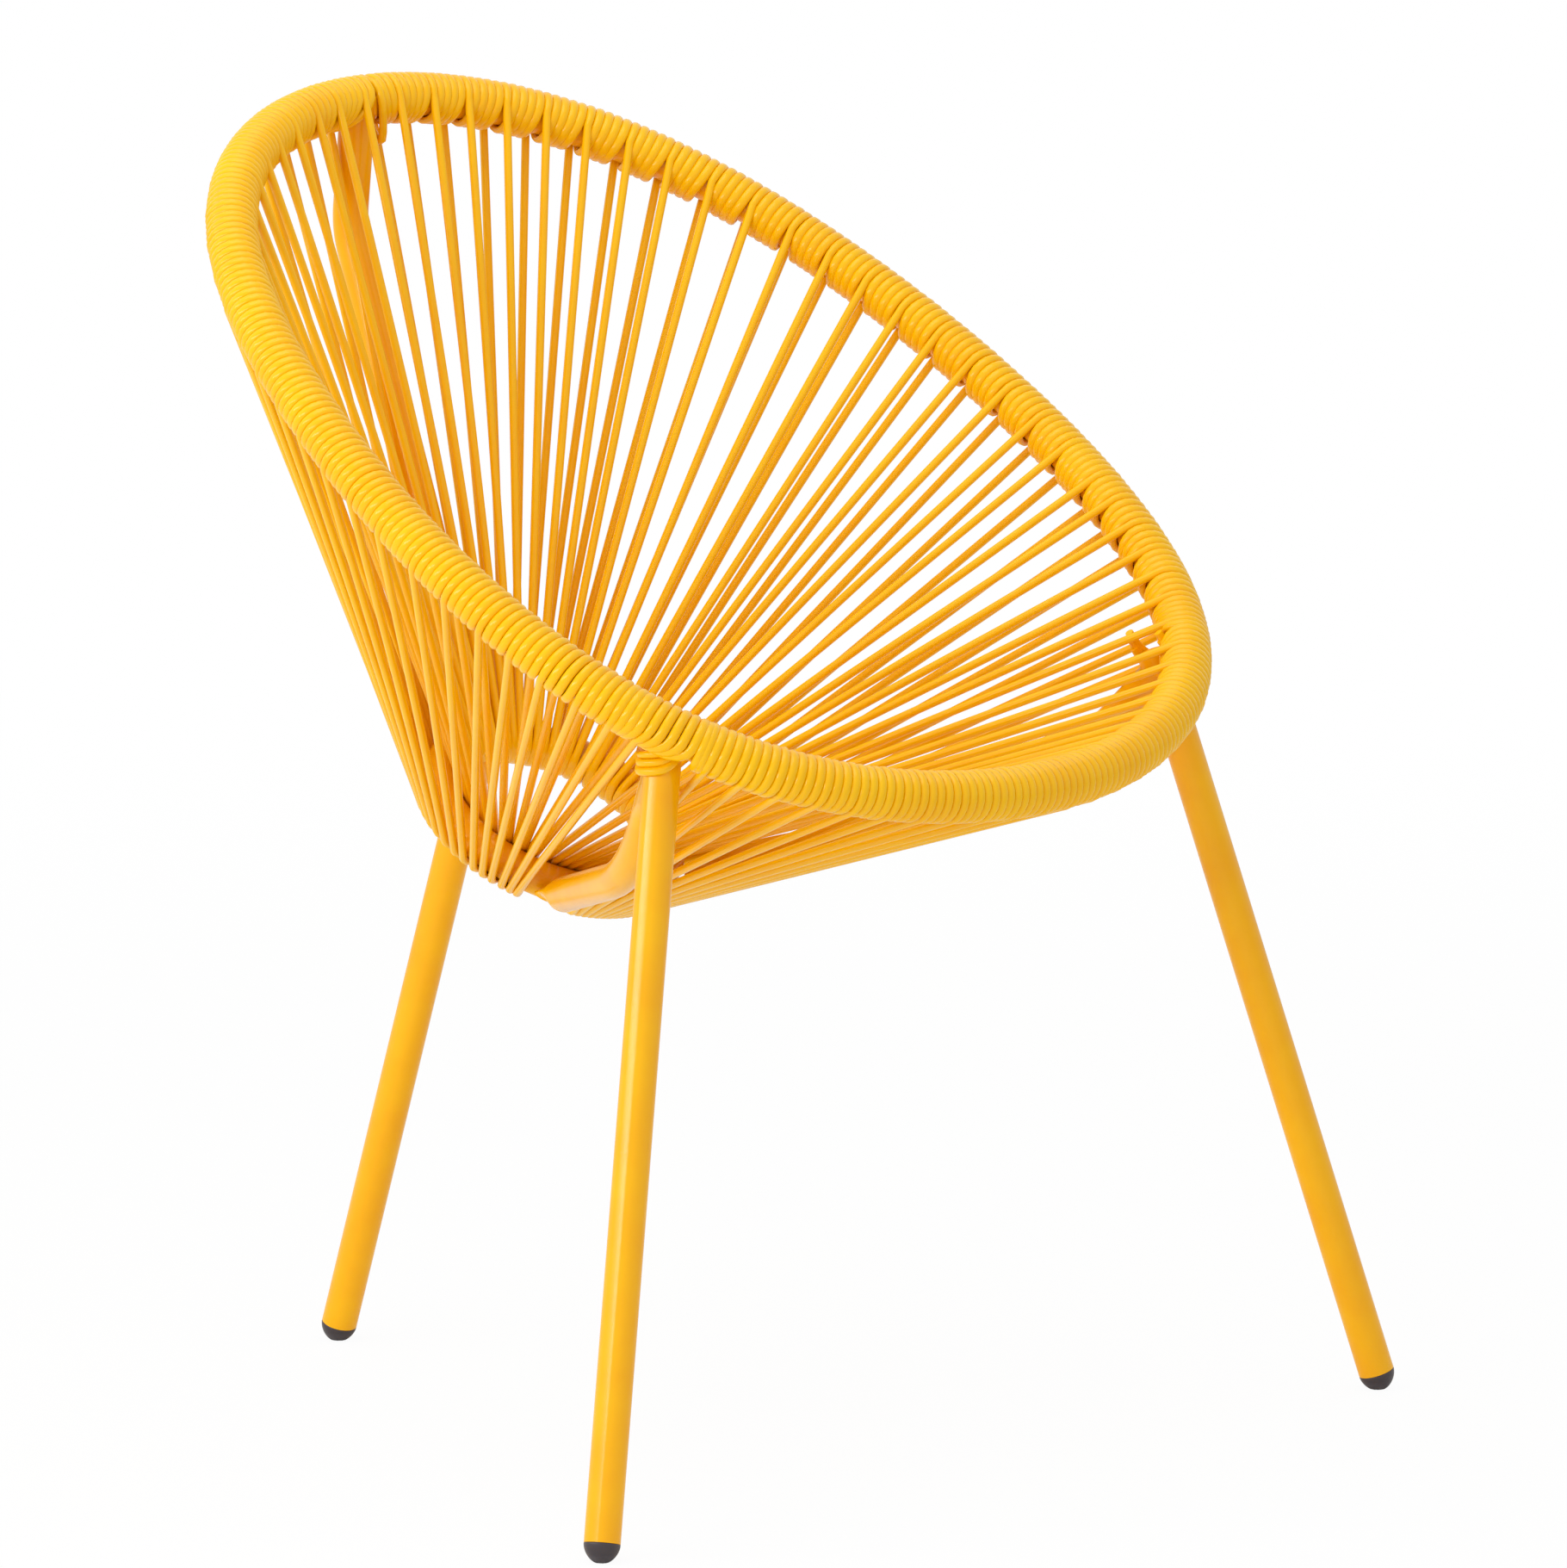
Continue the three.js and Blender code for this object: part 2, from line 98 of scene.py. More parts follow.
# Camera: the photograph's angle, taken from the fitted silhouettes
CAMERA_AZIMUTH, CAMERA_ELEVATION, CAMERA_ROLL = map(math.radians, (-45.415, 10.317, -0.253))
CAMERA_FROM_RING = (-8.36284, -8.44040, 2.18117)
CAMERA_LENS = 453.04


def place_camera():
    a, e, r = CAMERA_AZIMUTH, CAMERA_ELEVATION, CAMERA_ROLL
    level = Vector((math.cos(a), math.sin(a), 0.0))
    rise = Vector((-math.sin(a) * math.sin(e), math.cos(a) * math.sin(e), math.cos(e)))
    ahead = Vector((-math.sin(a) * math.cos(e), math.cos(a) * math.cos(e), -math.sin(e)))
    right = level * math.cos(r) + rise * math.sin(r)
    above = rise * math.cos(r) - level * math.sin(r)
    data = bpy.data.cameras.new("photo_camera")
    data.sensor_fit = "VERTICAL"
    data.sensor_height = 36.0
    data.lens = CAMERA_LENS
    data.clip_end = 60.0
    camera = bpy.data.objects.new("photo_camera", data)
    turn = Matrix((right, above, -ahead)).transposed().to_4x4()
    camera.matrix_world = Matrix.Translation(Vector(RING_CENTRE) + Vector(CAMERA_FROM_RING)) @ turn
    bpy.context.scene.collection.objects.link(camera)
    bpy.context.scene.camera = camera


place_camera()


# Materials

def linear(hex_colour):
    """An sRGB hex colour as the linear RGBA that the sockets take."""
    channels = [int(hex_colour[i:i + 2], 16) / 255 for i in (1, 3, 5)]
    return tuple(c / 12.92 if c <= 0.04045 else ((c + 0.055) / 1.055) ** 2.4 for c in channels) + (1.0,)


def add_node(tree, kind, settings=None, **values):
    """A node with its settings, its input values and, where a value is a socket, a link to it. An input goes
    by its name, with _ for a space, or as i0, i1 and so on by its place."""
    node = tree.nodes.new(kind)
    for name, value in (settings or {}).items():
        setattr(node, name, value)
    for name, value in values.items():
        numbered = name[0] == "i" and name[1:].isdigit()
        socket = node.inputs[int(name[1:]) if numbered else name.replace("_", " ")]
        if isinstance(value, bpy.types.NodeSocket):
            tree.links.new(value, socket)
        else:
            socket.default_value = value
    return node


def new_material(name):
    material = bpy.data.materials.new(name)
    material.use_nodes = True
    material.node_tree.nodes.clear()
    return material, material.node_tree


def blotches(tree, coords, scale, low, high, colour_low, colour_high):
    """A colour that drifts between two values in soft blotches of about 1/scale metres."""
    noise = add_node(tree, "ShaderNodeTexNoise", Vector=coords, Scale=scale, Detail=3.0)
    ramp = add_node(tree, "ShaderNodeValToRGB", Fac=noise.outputs["Fac"])
    ramp.color_ramp.elements[0].position = low
    ramp.color_ramp.elements[0].color = linear(colour_low)
    ramp.color_ramp.elements[1].position = high
    ramp.color_ramp.elements[1].color = linear(colour_high)
    return ramp.outputs["Color"]


def powder_coat():
    """Polyester powder coat on steel: a satin gloss with orange peel of about 1.5 mm, faintly mottled."""
    material, tree = new_material("polyester_powder_coat")
    coords = add_node(tree, "ShaderNodeTexCoord").outputs["Object"]
    colour = blotches(tree, coords, 35.0, 0.3, 0.7, "#FCB200", "#FFBC00")
    peel = add_node(tree, "ShaderNodeTexNoise", Vector=coords, Scale=650.0, Detail=2.0)
    wander = add_node(tree, "ShaderNodeTexNoise", Vector=coords, Scale=90.0, Detail=2.0)
    rough = add_node(tree, "ShaderNodeMapRange", Value=wander.outputs["Fac"], To_Min=0.16, To_Max=0.24)
    bump = add_node(tree, "ShaderNodeBump", Height=peel.outputs["Fac"], Strength=0.12, Distance=0.0002)
    shader = add_node(tree, "ShaderNodeBsdfPrincipled", Base_Color=colour, Roughness=rough.outputs["Result"],
                      IOR=1.5, Specular_IOR_Level=0.30, Normal=bump.outputs["Normal"])
    add_node(tree, "ShaderNodeOutputMaterial", Surface=shader.outputs["BSDF"])
    return material


def vinyl():
    """Extruded PVC cord: a glossy skin, faintly uneven, whose gloss drifts along the cord's length."""
    material, tree = new_material("extruded_pvc_cord")
    coords = add_node(tree, "ShaderNodeTexCoord").outputs["Object"]
    colour = blotches(tree, coords, 22.0, 0.25, 0.75, "#FEBD00", "#FFC700")
    along = add_node(tree, "ShaderNodeAttribute", {"attribute_name": "along"})
    drift = add_node(tree, "ShaderNodeTexNoise", {"noise_dimensions": "1D"}, W=along.outputs["Fac"],
                     Scale=14.0, Detail=2.0)
    rough = add_node(tree, "ShaderNodeMapRange", Value=drift.outputs["Fac"], To_Min=0.18, To_Max=0.26)
    skin = add_node(tree, "ShaderNodeTexNoise", Vector=coords, Scale=420.0, Detail=2.0)
    bump = add_node(tree, "ShaderNodeBump", Height=skin.outputs["Fac"], Strength=0.03, Distance=0.0002)
    shader = add_node(tree, "ShaderNodeBsdfPrincipled", Base_Color=colour, Roughness=rough.outputs["Result"],
                      IOR=1.53, Specular_IOR_Level=0.28, Normal=bump.outputs["Normal"])
    add_node(tree, "ShaderNodeOutputMaterial", Surface=shader.outputs["BSDF"])
    return material


def cap_plastic():
    """Moulded polyethylene foot cap: warm black with a soft gloss, scuffed paler at the tip it stands on."""
    material, tree = new_material("moulded_polyethylene_cap")
    coords = add_node(tree, "ShaderNodeTexCoord").outputs["Object"]
    height = add_node(tree, "ShaderNodeSeparateXYZ", Vector=coords).outputs["Z"]
    worn = add_node(tree, "ShaderNodeMapRange", Value=height, From_Min=0.0, From_Max=0.006, To_Min=1.0,
                    To_Max=0.0)
    dust = add_node(tree, "ShaderNodeTexNoise", Vector=coords, Scale=300.0, Detail=4.0)
    scuff = add_node(tree, "ShaderNodeMath", {"operation": "MULTIPLY"}, i0=worn.outputs["Result"],
                     i1=dust.outputs["Fac"])
    colour = add_node(tree, "ShaderNodeMix", {"data_type": "RGBA"}, Factor=scuff.outputs["Value"])
    for index, hex_colour in ((6, "#3A3236"), (7, "#6A6264")):
        colour.inputs[index].default_value = linear(hex_colour)
    grain = add_node(tree, "ShaderNodeTexNoise", Vector=coords, Scale=1500.0, Detail=2.0)
    bump = add_node(tree, "ShaderNodeBump", Height=grain.outputs["Fac"], Strength=0.2, Distance=0.0001)
    shader = add_node(tree, "ShaderNodeBsdfPrincipled", Base_Color=colour.outputs[2], Roughness=0.38, IOR=1.5,
                      Normal=bump.outputs["Normal"])
    add_node(tree, "ShaderNodeOutputMaterial", Surface=shader.outputs["BSDF"])
    return material


POWDER_COAT = powder_coat()
VINYL = vinyl()
CAP_PLASTIC = cap_plastic()


# The two loops that everything hangs between

def unit(v):
    v = np.asarray(v, float)
    return v / np.linalg.norm(v)


class TiltedLoop:
    """A flat loop that leans back by its tilt and runs to the right from its rear, by length along it."""

    def __init__(self, centre, tilt, half_width, half_length, narrow=0.0, square=0.0, front=0.0):
        lean = math.radians(tilt)
        self.centre = centre
        self.back = np.array((0.0, math.cos(lean), math.sin(lean)))
        self.normal = np.array((0.0, -math.sin(lean), math.cos(lean)))
        self.shape = (half_width, half_length, narrow, square, front)
        self.turns = np.linspace(0.0, 1.0, LOOP_STEPS + 1)
        corners = np.array([self.point_at_turn(t) for t in self.turns])
        steps = np.linalg.norm(np.diff(corners, axis=0), axis=1)
        self.lengths = np.concatenate(((0.0,), np.cumsum(steps)))
        self.length = self.lengths[-1]

    def point_at_turn(self, turn):
        half_width, half_length, narrow, square, front = self.shape
        angle = 2 * math.pi * turn
        across = math.sin(angle) + narrow * math.sin(2 * angle) + square * math.sin(3 * angle)
        along = math.cos(angle) + front * math.cos(2 * angle)
        point = self.centre + self.back * half_length * along
        point[0] += half_width * across
        return point

    def at(self, length):
        """Point, tangent and outward direction at a length from the rear."""
        turn = np.interp(length % self.length, self.lengths, self.turns)
        point = self.point_at_turn(turn)
        tangent = unit(self.point_at_turn(turn + 1e-4) - self.point_at_turn(turn - 1e-4))
        return point, tangent, unit(np.cross(tangent, self.normal))


RIM = TiltedLoop(RIM_CENTRE, RIM_TILT, RIM_HALF_WIDTH, RIM_HALF_LENGTH, RIM_NARROW, RIM_SQUARE, RIM_FRONT)
RING = TiltedLoop(RING_CENTRE, RING_TILT, RING_RADIUS, RING_RADIUS)


def meeting(tangent, along):
    """At a loop: the direction into the bowl, and the direction on along the strand."""
    inward = unit(np.cross(along, tangent))
    if inward @ RIM.normal < 0:
        inward = -inward
    return inward, unit(along - tangent * (along @ tangent))


# Tubes and cords: one tree sweeps a round section along a path

def sweep_tree():
    """Geometry nodes: a round section swept along a path of edges. Where the path says that the cord is
    pressed on a tube, the section is flattened against it. The length along the path is kept for the
    finish."""
    tree = bpy.data.node_groups.new("round_section_along_path", "GeometryNodeTree")
    face = tree.interface
    face.new_socket("Geometry", in_out="INPUT", socket_type="NodeSocketGeometry")
    sockets = {
        "radius": face.new_socket("Radius", in_out="INPUT", socket_type="NodeSocketFloat").identifier,
        "sides": face.new_socket("Sides", in_out="INPUT", socket_type="NodeSocketInt").identifier,
        "widened": face.new_socket("Widened", in_out="INPUT", socket_type="NodeSocketFloat").identifier,
        "thinned": face.new_socket("Thinned", in_out="INPUT", socket_type="NodeSocketFloat").identifier,
        "finish": face.new_socket("Finish", in_out="INPUT", socket_type="NodeSocketMaterial").identifier,
    }
    face.new_socket("Geometry", in_out="OUTPUT", socket_type="NodeSocketGeometry")
    given = add_node(tree, "NodeGroupInput").outputs
    curve = add_node(tree, "GeometryNodeMeshToCurve", Mesh=given["Geometry"]).outputs["Curve"]
    length = add_node(tree, "GeometryNodeSplineParameter").outputs["Length"]
    place = add_node(tree, "GeometryNodeInputPosition").outputs["Position"]
    kept = add_node(tree, "GeometryNodeStoreNamedAttribute", {"data_type": "FLOAT", "domain": "POINT"},
                    Geometry=curve, Name="along", Value=length).outputs["Geometry"]
    kept = add_node(tree, "GeometryNodeStoreNamedAttribute", {"data_type": "FLOAT_VECTOR", "domain": "POINT"},
                    Geometry=kept, Name="spine", Value=place).outputs["Geometry"]
    section = add_node(tree, "GeometryNodeCurvePrimitiveCircle", Resolution=given["Sides"],
                       Radius=given["Radius"])
    tube = add_node(tree, "GeometryNodeCurveToMesh", Curve=kept, Profile_Curve=section.outputs["Curve"],
                    Fill_Caps=True).outputs["Mesh"]
    spine = add_node(tree, "GeometryNodeInputNamedAttribute", {"data_type": "FLOAT_VECTOR"},
                     Name="spine").outputs["Attribute"]
    lay = add_node(tree, "GeometryNodeInputNamedAttribute", {"data_type": "FLOAT_VECTOR"},
                   Name="lay").outputs["Attribute"]
    press = add_node(tree, "GeometryNodeInputNamedAttribute", {"data_type": "FLOAT"},
                     Name="press").outputs["Attribute"]
    out = add_node(tree, "ShaderNodeVectorMath", {"operation": "SUBTRACT"}, i0=place,
                   i1=spine).outputs["Vector"]
    height = add_node(tree, "ShaderNodeVectorMath", {"operation": "DOT_PRODUCT"}, i0=out,
                      i1=lay).outputs["Value"]
    high = add_node(tree, "ShaderNodeVectorMath", {"operation": "SCALE"}, i0=lay,
                    Scale=height).outputs["Vector"]
    wide = add_node(tree, "ShaderNodeVectorMath", {"operation": "SUBTRACT"}, i0=out,
                    i1=high).outputs["Vector"]
    spread = add_node(tree, "ShaderNodeVectorMath", {"operation": "SCALE"}, i0=wide,
                      Scale=given["Widened"]).outputs["Vector"]
    sunk = add_node(tree, "ShaderNodeVectorMath", {"operation": "SCALE"}, i0=high,
                    Scale=given["Thinned"]).outputs["Vector"]
    squeeze = add_node(tree, "ShaderNodeVectorMath", {"operation": "SUBTRACT"}, i0=spread,
                       i1=sunk).outputs["Vector"]
    move = add_node(tree, "ShaderNodeVectorMath", {"operation": "SCALE"}, i0=squeeze,
                    Scale=press).outputs["Vector"]
    pressed = add_node(tree, "GeometryNodeSetPosition", Geometry=tube, Offset=move)
    smooth = add_node(tree, "GeometryNodeSetShadeSmooth", Geometry=pressed.outputs["Geometry"])
    real = add_node(tree, "GeometryNodeRealizeInstances", Geometry=smooth.outputs["Geometry"])
    finished = add_node(tree, "GeometryNodeSetMaterial", Geometry=real.outputs["Geometry"],
                        Material=given["Finish"])
    add_node(tree, "NodeGroupOutput", Geometry=finished.outputs["Geometry"])
    return tree, sockets


SWEEP, SWEEP_SOCKETS = sweep_tree()


def swept(name, paths, radius, sides, finish, closed=False, lays=None, presses=None):
    """One object of round section along one or more paths, pressed flat where the presses say so."""
    corners, edges = [], []
    for path in paths:
        start = len(corners)
        corners += [tuple(p) for p in path]
        edges += [(start + i, start + i + 1) for i in range(len(path) - 1)]
        if closed:
            edges.append((start + len(path) - 1, start))
    mesh = bpy.data.meshes.new(name)
    mesh.from_pydata(corners, edges, [])
    if lays is not None:
        mesh.attributes.new("lay", "FLOAT_VECTOR", "POINT").data.foreach_set("vector", np.ravel(lays))
        mesh.attributes.new("press", "FLOAT", "POINT").data.foreach_set("value", np.ravel(presses))
    piece = bpy.data.objects.new(name, mesh)
    bpy.context.scene.collection.objects.link(piece)
    modifier = piece.modifiers.new("sweep", "NODES")
    modifier.node_group = SWEEP
    for socket, value in (("radius", radius), ("sides", sides), ("finish", finish), ("widened", CORD_WIDENED),
                          ("thinned", CORD_THINNED)):
        modifier[SWEEP_SOCKETS[socket]] = value
    piece = settled(piece)
    for attribute in ("lay", "press", "spine"):
        if attribute in piece.data.attributes:
            piece.data.attributes.remove(piece.data.attributes[attribute])
    return piece


def settled(piece):
    """The piece with its modifiers made into a plain mesh whose faces point outwards."""
    graph = bpy.context.evaluated_depsgraph_get()
    mesh = bpy.data.meshes.new_from_object(piece.evaluated_get(graph))
    piece.modifiers.clear()
    piece.data = mesh
    mesh.name = piece.name
    return facing_out(piece)


def facing_out(piece):
    mesh = piece.data
    mesh.calc_loop_triangles()
    corners = np.zeros(len(mesh.vertices) * 3)
    mesh.vertices.foreach_get("co", corners)
    faces = np.zeros(len(mesh.loop_triangles) * 3, int)
    mesh.loop_triangles.foreach_get("vertices", faces)
    a, b, c = corners.reshape(-1, 3)[faces.reshape(-1, 3)].transpose(1, 0, 2)
    if np.einsum("ij,ij->", a, np.cross(b, c)) < 0:
        mesh.flip_normals()
    return piece


def skin(name, rings, finish):
    """A closed smooth skin through rings of corners, capped at both ends."""
    sides = len(rings[0])
    corners = [tuple(p) for ring in rings for p in ring]
    faces = []
    for k in range(len(rings) - 1):
        for i in range(sides):
            beside = (i + 1) % sides
            faces.append((k * sides + i, k * sides + beside, (k + 1) * sides + beside, (k + 1) * sides + i))
    faces += [tuple(range(sides)), tuple(range((len(rings) - 1) * sides, len(rings) * sides))[::-1]]
    mesh = bpy.data.meshes.new(name)
    mesh.from_pydata(corners, [], faces)
    mesh.polygons.foreach_set("use_smooth", [len(f) == 4 for f in faces])
    mesh.materials.append(finish)
    piece = bpy.data.objects.new(name, mesh)
    bpy.context.scene.collection.objects.link(piece)
    return facing_out(piece)


def stands_for(piece, slot, *nodes):
    """The piece, shown in place of the CAD nodes named. The slot is not used."""
    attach(piece, "root")
    if nodes:
        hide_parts(*nodes)
    return piece


def bent_path(start, knee, end, bend, steps=16):
    """A tube's path: two straight runs joined by an arc of the bend radius."""
    start, knee, end = map(np.asarray, (start, knee, end))
    into, out = unit(knee - start), unit(end - knee)
    half = math.acos(np.clip(into @ out, -1, 1)) / 2
    axis = unit(np.cross(into, out))
    to_centre = np.cross(axis, into)
    first = knee - into * bend * math.tan(half)
    centre = first + to_centre * bend
    arc = []
    for k in range(steps + 1):
        turn = 2 * half * k / steps
        arc.append(centre - to_centre * bend * math.cos(turn) + into * bend * math.sin(turn))
    return [start, *arc, end]


# Frame: rim, seat ring, legs, braces, upright and their weld beads

def around(loop, steps):
    return [loop.at(loop.length * k / steps)[0] for k in range(steps)]


def bead(branch_point, branch_axis, main_distance, steps=40):
    """The line where a tube's skin meets the tube that it is welded to, found by halving along the tube."""
    first = unit(np.cross(branch_axis, (0.3, 0.2, 0.9)))
    second = np.cross(branch_axis, first)
    line = []
    for k in range(steps):
        angle = 2 * math.pi * k / steps
        side = branch_point + (first * math.cos(angle) + second * math.sin(angle)) * TUBE_RADIUS
        near, far = BEAD_SEARCH
        if main_distance(side - branch_axis * near) > TUBE_RADIUS:
            line.append(side - branch_axis * near)
            continue
        for _ in range(BEAD_HALVINGS):
            middle = (near + far) / 2
            if main_distance(side - branch_axis * middle) < TUBE_RADIUS:
                near = middle
            else:
                far = middle
        line.append(side - branch_axis * far)
    return line


def to_loop(loop):
    """A function that gives a point's distance from a loop's middle line."""
    points = np.array(around(loop, WELD_STEPS))
    return lambda p: np.linalg.norm(points - p, axis=1).min()


for loop_name, loop, steps, sides, loop_node in (
        ("rim_tube_smooth", RIM, 360, 24, "rim_tube"), ("seat_ring_smooth", RING, 160, 32, "seat_ring")):
    loop_tube = swept(loop_name, [around(loop, steps)], TUBE_RADIUS, sides, POWDER_COAT, True)
    stands_for(loop_tube, "powder_coated_tube", loop_node)

FOOT_AXES = {}
LEG_TIES = []


def front_leg(side, sign):
    """A front leg, the cord's turns over its head, and its brace, flattened where it meets the ring."""
    place = lambda share: share if sign > 0 else 1 - share
    rim_point, rim_tangent, _ = RIM.at(place(LEG_RIM_SHARE) * RIM.length)
    ring_point, ring_tangent, _ = RING.at(place(LEG_RING_SHARE) * RING.length)
    to_ring = ring_point - rim_point
    head = rim_point + unit(to_ring) * LEG_INSET - rim_tangent * sign * LEG_SLIDE
    inward, onward = meeting(ring_tangent, to_ring)
    turned = math.radians(PINCH_TURNED)
    under_ring = inward * math.cos(turned) + onward * math.sin(turned)
    seat = ring_point - under_ring * (TUBE_RADIUS + CLEARANCE + PINCH_THIN)
    foot = RING_CENTRE + (sign * FRONT_FOOT[0], FRONT_FOOT[1], FRONT_FOOT[2])
    axis = unit(head - foot)
    FOOT_AXES[f"front_{side}"] = (foot, axis)
    bottom = foot + axis * (CAP_HEIGHT + CLEARANCE)
    outward = -unit(inward - axis * (inward @ axis))
    beside = np.cross(axis, outward)
    for down in TIES_DOWN:
        tie = []
        for turn in np.linspace(-TIE_REACH, TIE_REACH, TIE_STEPS + 1):
            rise = TIE_RISE * (abs(turn) / TIE_REACH) ** 3 - down
            t = math.radians(turn)
            tie.append(head + axis * rise + (outward * math.cos(t) + beside * math.sin(t)) * CORD_LAY)
        LEG_TIES.append(tie)
    leg_path = [bottom, (bottom + head) / 2, head]
    leg = swept(f"front_{side}_leg_tube", [leg_path], TUBE_RADIUS, LEG_SIDES, POWDER_COAT)
    stands_for(leg, "powder_coated_tube", f"front_{side}_leg")
    start = head - axis * BRACE_DROP
    level = unit((seat[0] - start[0], seat[1] - start[1], 0.0))
    knee = start + level * BRACE_KNEE_RUN - np.array((0, 0, BRACE_KNEE_DROP))
    path = bent_path(start, knee, seat, BRACE_BEND)
    last_run = unit(seat - knee)
    pinch_runs = [PINCH_LENGTH + (PINCH_FLAT - PINCH_LENGTH) * k / PINCH_STEPS
                  for k in range(PINCH_STEPS + 1)]
    pinch_start = len(path) - 1
    path = path[:-1] + [seat - last_run * run for run in pinch_runs] + [seat]
    rings = []
    for k, point in enumerate(path):
        before = unit(point - path[k - 1]) if k else unit(path[1] - point)
        after = unit(path[k + 1] - point) if k < len(path) - 1 else before
        direction = unit(before + after)
        lateral = unit(ring_tangent - direction * (ring_tangent @ direction))
        depth = np.cross(direction, lateral)
        share = min(max(k - pinch_start, 0) / PINCH_STEPS, 1.0)
        pinch = share ** 2 * (3 - 2 * share)
        wide = TUBE_RADIUS + (PINCH_WIDE - TUBE_RADIUS) * pinch
        thin = TUBE_RADIUS + (PINCH_THIN - TUBE_RADIUS) * pinch
        rings.append([point + lateral * wide * math.cos(t) + depth * thin * math.sin(t)
                      for t in np.linspace(0, 2 * math.pi, BRACE_SIDES + 1)[:-1]])
    brace = skin(f"front_{side}_brace_tube", rings, POWDER_COAT)
    stands_for(brace, "powder_coated_tube", f"front_{side}_brace")


front_leg("left", -1)
front_leg("right", 1)


def rear_frame():
    """The rear leg, the back upright and the weld beads at their ends."""
    on_rim, on_ring = RIM.at(0)[0], RING.at(0)[0]
    foot = RING_CENTRE + REAR_FOOT
    axis = unit(on_ring - foot)
    FOOT_AXES["rear"] = (foot, axis)
    bottom = foot + axis * (CAP_HEIGHT + CLEARANCE)
    knee = RING_CENTRE + UPRIGHT_KNEE
    upright_path = bent_path(on_ring, knee, on_rim, UPRIGHT_BEND)
    leg_path = [bottom, (bottom + on_ring) / 2, on_ring]
    leg = swept("rear_leg_tube", [leg_path], TUBE_RADIUS, LEG_SIDES, POWDER_COAT)
    upright = swept("back_upright_tube", [upright_path], TUBE_RADIUS, LEG_SIDES, POWDER_COAT)
    stands_for(leg, "powder_coated_tube", "rear_leg")
    stands_for(upright, "powder_coated_tube", "back_upright")
    beads = [
        bead(on_ring, axis, to_loop(RING)),
        bead(on_ring, -unit(knee - on_ring), to_loop(RING)),
        bead(on_rim, unit(on_rim - knee), to_loop(RIM)),
    ]
    stands_for(swept("weld_beads", beads, BEAD_RADIUS, 8, POWDER_COAT, True), "powder_coated_tube")


rear_frame()


def foot_cap(side):
    """A domed, slightly pointed cap: a turned skin on the leg's own axis, cut level where it stands."""
    foot, axis = FOOT_AXES[side]
    first = unit(np.cross(axis, (0.0, 1.0, 0.0)))
    second = np.cross(axis, first)
    floor = foot[2] + CAP_FLAT
    profile = []
    for k in range(1, CAP_STEPS + 1):
        angle = math.pi / 2 * k / CAP_STEPS
        rise = CAP_POINT * (1 - math.cos(angle)) + (1 - CAP_POINT) * math.sin(angle) ** 2
        profile.append((TUBE_RADIUS * math.sin(angle), CAP_HEIGHT * rise))
    profile[-1] = (TUBE_RADIUS * CAP_EDGE_SHARE, CAP_HEIGHT)
    profile += [(TUBE_RADIUS * reach, CAP_HEIGHT + CLEARANCE * rise) for reach, rise in CAP_LIP_SHARES]
    rings = []
    for radius, rise in [(TUBE_RADIUS * CAP_TIP_SHARE, 0.0)] + profile:
        ring = []
        for t in np.linspace(0, 2 * math.pi, LEG_SIDES + 1)[:-1]:
            point = foot + axis * rise + (first * math.cos(t) + second * math.sin(t)) * radius
            point[2] = max(point[2], floor)
            ring.append(point)
        rings.append(ring)
    cap = skin(f"{side}_foot_cap_dome", rings, CAP_PLASTIC)
    stands_for(cap, "foot_cap_rubber", f"{side}_foot_cap")


for cap_side in ("front_left", "front_right", "rear"):
    foot_cap(cap_side)


# The winding: three stretches of cord between the welds
STEPS_A_TURN = 20
STEPS_ROUND_RING = 12
CORD_SIDES = 12
WRAP = 0.0057
LEG_AT = LEG_RIM_SHARE * RIM.length
UNDER_RIM, UNDER_REACH = 100.0, 120.0
GATHERED = 0.12
GATHERED_BACK, GATHERED_SIDE = 0.3, -0.65
GATHER_TURNS_AT = (0.26, 0.34)
WELD_HALF = 0.0142
WELD_REACH, WELD_REACH_ROUND = 0.040, 125.0
UPRIGHT_PASSED, LEG_PASSED = -0.0035, 0.0115
UPRIGHT_ANGLE, LEG_ANGLE = 105.0, 108.0
UNEVEN_BY = 0.00012
UNEVEN = np.random.default_rng(11)
FEWEST_STEPS = 6
RING_PASSED = 110.0
PRESS_STEPS = 3
# Parts of a turn: from a strand to the top of the rim, from there to under it, and for the press to set in.
TO_TOP, TO_UNDER, PRESS_TURNS = 0.25, 0.5, 0.2

# Where the strands leave the rim, and where they go in and out of the ring: lengths in mm from the rear. The
# left side and the front are measured down the left, and the right side down the right. The strands that the
# photograph shows clearly are set one by one, and the rest of those counted are spread evenly between them.
LEFT_EXITS = (6.6, 33.0, 57.0, 85.3, 112.3, 139.2, 167.2, 197.4, 227.7, 257.9, 288.1, 318.3, 348.6, 378.8,
              409.0, 439.3, 469.5, 499.7, 533.4, 562.8, 592.6, 617.0, 640.2, 665.5, 688.6, 709.0)
FRONT_EXITS = np.linspace(747.2, 1202.7, 21)
RIGHT_EXITS = (22.5, 50.2, 76.5, 104.1, 132.3, 160.8, 190.1, 218.7, 248.5, 278.5, 308.0, 337.5, 367.1, 396.8,
               426.7, 456.2, 486.9, 516.9, 545.6, 577.0, 599.1, 623.5, 648.6, 671.0, 695.6, 722.0)
SIDE_ON_RIM = (0.0, 104.1, 160.8, 248.5, 308.0, 367.1, 456.6, 516.9, 577.0, 623.5, 671.0, 722.0)
SIDE_ON_RING = (0.5, 22.6, 36.0, 55.0, 67.5, 83.0, 103.0, 119.0, 133.0, 145.0, 157.0, 168.0)
